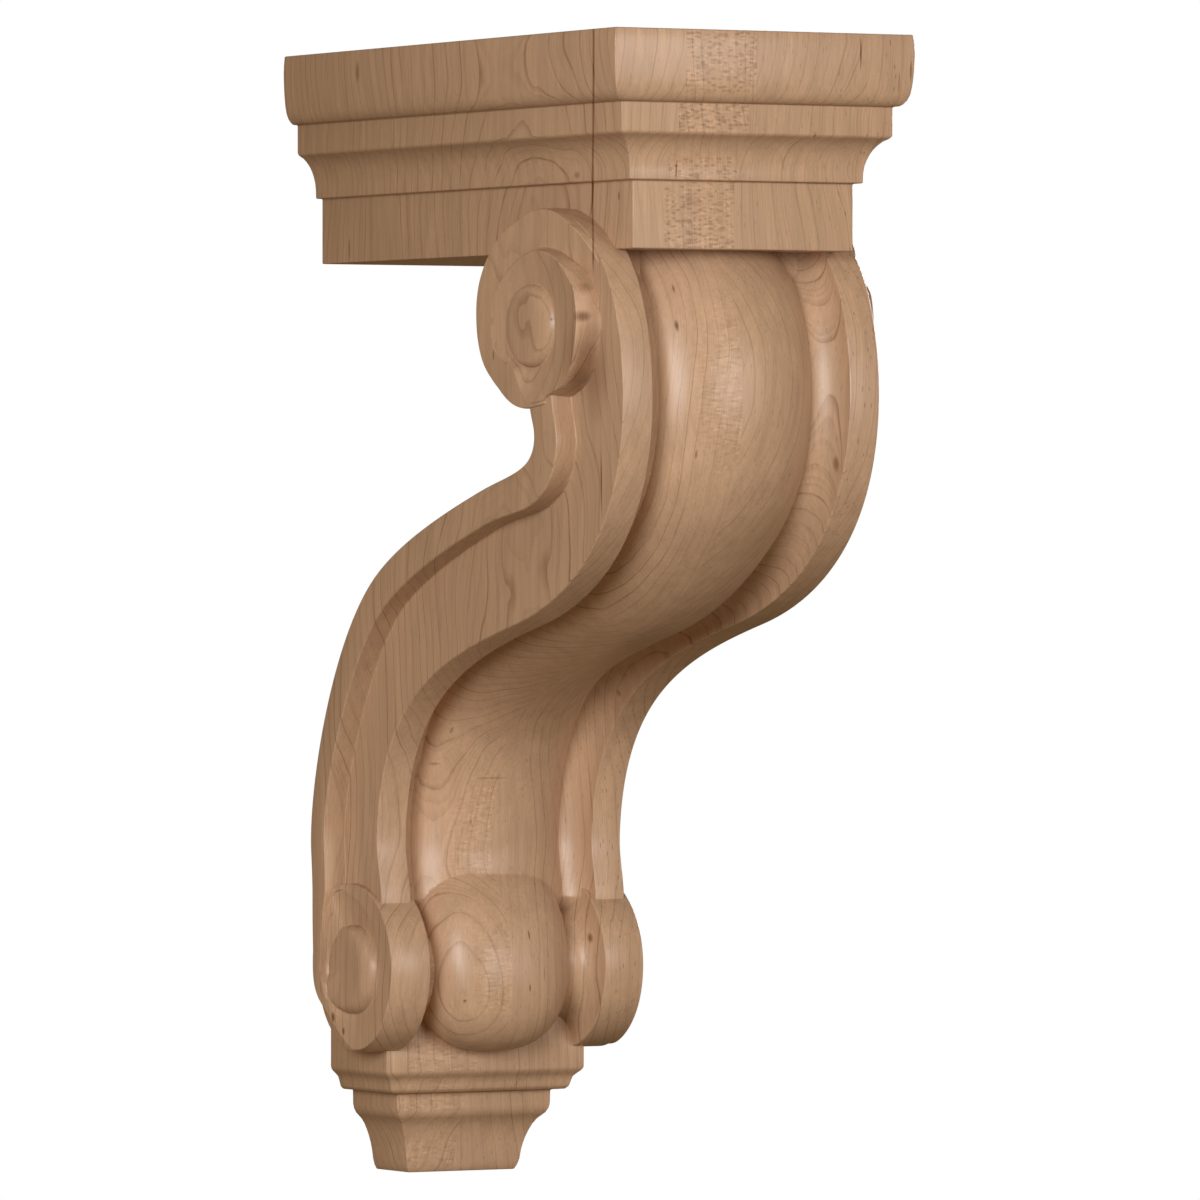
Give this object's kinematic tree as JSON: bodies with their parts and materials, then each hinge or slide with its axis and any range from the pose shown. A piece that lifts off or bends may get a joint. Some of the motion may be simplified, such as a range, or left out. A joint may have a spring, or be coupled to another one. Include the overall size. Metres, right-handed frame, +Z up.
{
  "type": "wood corbel",
  "caption": "Carved scroll bracket of bare maple with a moulded cap, an S-shaped body with side bands and volutes, and a stepped foot; it carries a shelf or counter on a wall.",
  "frame": {"origin": "middle of the cap's back face, on the plane that meets the wall", "axes": "+Z up to the top face, +Y back into the wall, +X to the right as seen from the front"},
  "size_m": [0.1052, 0.2172, 0.3556],
  "materials": {
    "maple": "bare hard maple, sanded, with no stain or varnish"
  },
  "bodies": {
    "root": {"corbel": "maple"}
  },
  "joints": []
}
